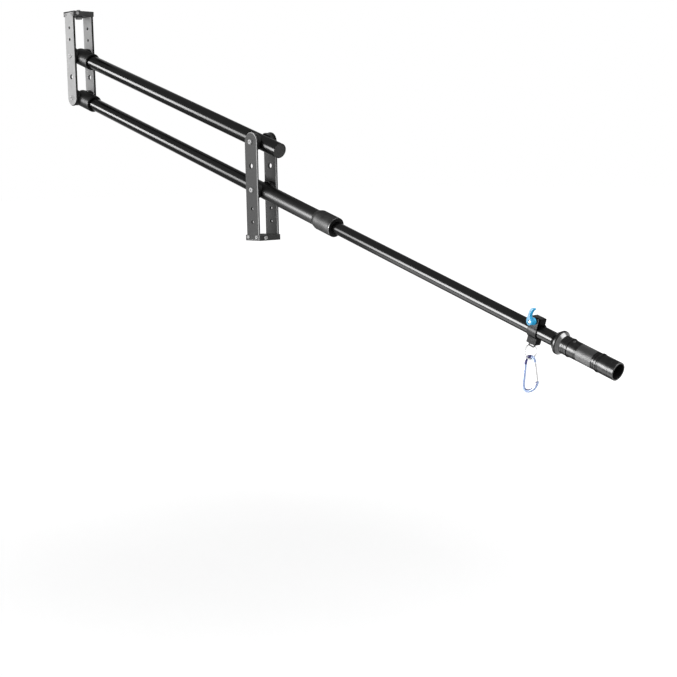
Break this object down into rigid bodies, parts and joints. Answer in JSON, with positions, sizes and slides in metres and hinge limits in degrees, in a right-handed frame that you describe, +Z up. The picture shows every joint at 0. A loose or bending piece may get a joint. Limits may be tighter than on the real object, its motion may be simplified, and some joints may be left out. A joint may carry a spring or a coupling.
{
  "type": "camera jib crane",
  "caption": "Small tilting camera crane: two parallel tubular arms pinned between a base bracket and a camera bracket, with a sliding rear extension, weight hook and handle.",
  "frame": {"origin": "centre of the base block's underside, where the crane stands on a tripod", "axes": "+Z up, +X from the camera end to the handle, -Y the side with the clamp's lever"},
  "size_m": [1.6196, 0.0657, 0.7857],
  "materials": {
    "bracket_grey": "satin",
    "bracket_silver": "satin",
    "black_tube": "gloss black anodised",
    "satin_black": "satin black anodised",
    "block_grey": "satin black anodised",
    "handle_black": "polished black anodised",
    "black_plastic": "matt",
    "steel": "bright",
    "blue_anodised": "blue anodised",
    "violet_anodised": "pale blue anodised"
  },
  "bodies": {
    "base": {"base_block": "block_grey", "base_plate_near": "bracket_grey", "base_plate_far": "bracket_grey", "tripod_insert": "steel", "base_lock_screw": "steel", "base_corner_screw_1": "steel", "base_corner_screw_2": "steel", "base_corner_screw_3": "steel", "base_corner_screw_4": "steel", "base_lower_screw_near": "steel", "base_lower_screw_far": "steel", "base_upper_bolt": "steel", "base_upper_nut": "steel"},
    "upper_arm": {"upper_tube": "black_tube", "upper_front_cap": "satin_black", "upper_rear_plug": "black_plastic", "upper_base_disc_near": "black_plastic", "upper_base_disc_far": "black_plastic", "upper_front_disc_near": "black_plastic", "upper_front_disc_far": "black_plastic"},
    "lower_arm": {"lower_tube": "black_tube", "lower_sleeve": "black_tube", "lower_front_cap": "satin_black", "collet": "black_plastic", "lower_base_disc_near": "black_plastic", "lower_base_disc_far": "black_plastic", "lower_front_disc_near": "black_plastic", "lower_front_disc_far": "black_plastic"},
    "camera_bracket": {"camera_block": "block_grey", "camera_plate_near": "bracket_silver", "camera_plate_far": "bracket_silver", "camera_lock_screw": "steel", "camera_corner_screw_1": "steel", "camera_corner_screw_2": "steel", "camera_corner_screw_3": "steel", "camera_corner_screw_4": "steel", "camera_lower_bolt": "steel", "camera_lower_nut": "steel", "camera_upper_bolt": "steel", "camera_upper_nut": "steel", "camera_screw_washer": "black_plastic"},
    "camera_screw": {"camera_screw": "steel"},
    "twist_collar": {"twist_collar": "satin_black", "collar_wiper": "black_plastic"},
    "extension": {"extension_tube": "black_tube", "extension_inner_plug": "black_plastic", "weight_stop": "handle_black", "handle_grip": "handle_black", "handle_tail": "handle_black", "handle_set_screw": "steel"},
    "clamp": {"clamp_body": "satin_black", "clamp_eye": "steel"},
    "clamp_lever": {"clamp_lever": "blue_anodised", "clamp_screw": "steel"},
    "split_ring": {"split_ring": "steel"},
    "carabiner": {"carabiner_body": "violet_anodised", "carabiner_pin": "steel"},
    "carabiner_gate": {"carabiner_gate": "steel"}
  },
  "joints": [
    {"name": "arm_tilt", "type": "hinge", "parent": "base", "child": "lower_arm", "pos_m": [0, 0, 0.106], "axis": [0, 1, 0], "range_deg": [-73, 37]},
    {"name": "upper_arm_tilt", "type": "hinge", "parent": "base", "child": "upper_arm", "pos_m": [0, 0, 0.206], "axis": [0, 1, 0], "range_deg": [-73, 37]},
    {"name": "camera_bracket_tilt", "type": "hinge", "parent": "lower_arm", "child": "camera_bracket", "pos_m": [-0.68255, 0, 0.32883], "axis": [0, 1, 0], "range_deg": [-37, 73]},
    {"name": "extension_slide", "type": "slide", "parent": "lower_arm", "child": "extension", "axis": [0.9506, 0, -0.3103], "range_m": [-0.4, 0]},
    {"name": "clamp_slide", "type": "slide", "parent": "extension", "child": "clamp", "axis": [0.9506, 0, -0.3103], "range_m": [-0.1, 0.025]},
    {"name": "collar_twist", "type": "hinge", "parent": "lower_arm", "child": "twist_collar", "pos_m": [0.20153, 0, 0.04021], "axis": [0.9506, 0, -0.3103], "range_deg": [0, 120]},
    {"name": "lever_turn", "type": "hinge", "parent": "clamp", "child": "clamp_lever", "pos_m": [0.74336, 0, -0.11743], "axis": [0, 1, 0], "range_deg": [0, 180]},
    {"name": "ring_swing", "type": "hinge", "parent": "clamp", "child": "split_ring", "pos_m": [0.72418, 0, -0.16008], "axis": [0, 1, 0], "range_deg": [-50, 85]},
    {"name": "carabiner_swing", "type": "hinge", "parent": "split_ring", "child": "carabiner", "pos_m": [0.72418, 0, -0.18668], "axis": [0.1564, 0.9877, 0], "range_deg": [-20, 20]},
    {"name": "gate_swing", "type": "hinge", "parent": "carabiner", "child": "carabiner_gate", "pos_m": [0.73138, 0.00291, -0.19467], "axis": [-0.3746, 0.9272, 0], "range_deg": [0, 25], "stiffness_Nm_per_rad": 0.02, "springref_deg": -28.65},
    {"name": "camera_screw_turn", "type": "hinge", "parent": "camera_bracket", "child": "camera_screw", "pos_m": [-0.68255, 0, 0.53483], "axis": [0, 0, 1], "continuous": true}
  ],
  "couplings": [
    {"joint": "upper_arm_tilt", "follows": "arm_tilt", "ratio": 1},
    {"joint": "camera_bracket_tilt", "follows": "arm_tilt", "ratio": -1}
  ]
}
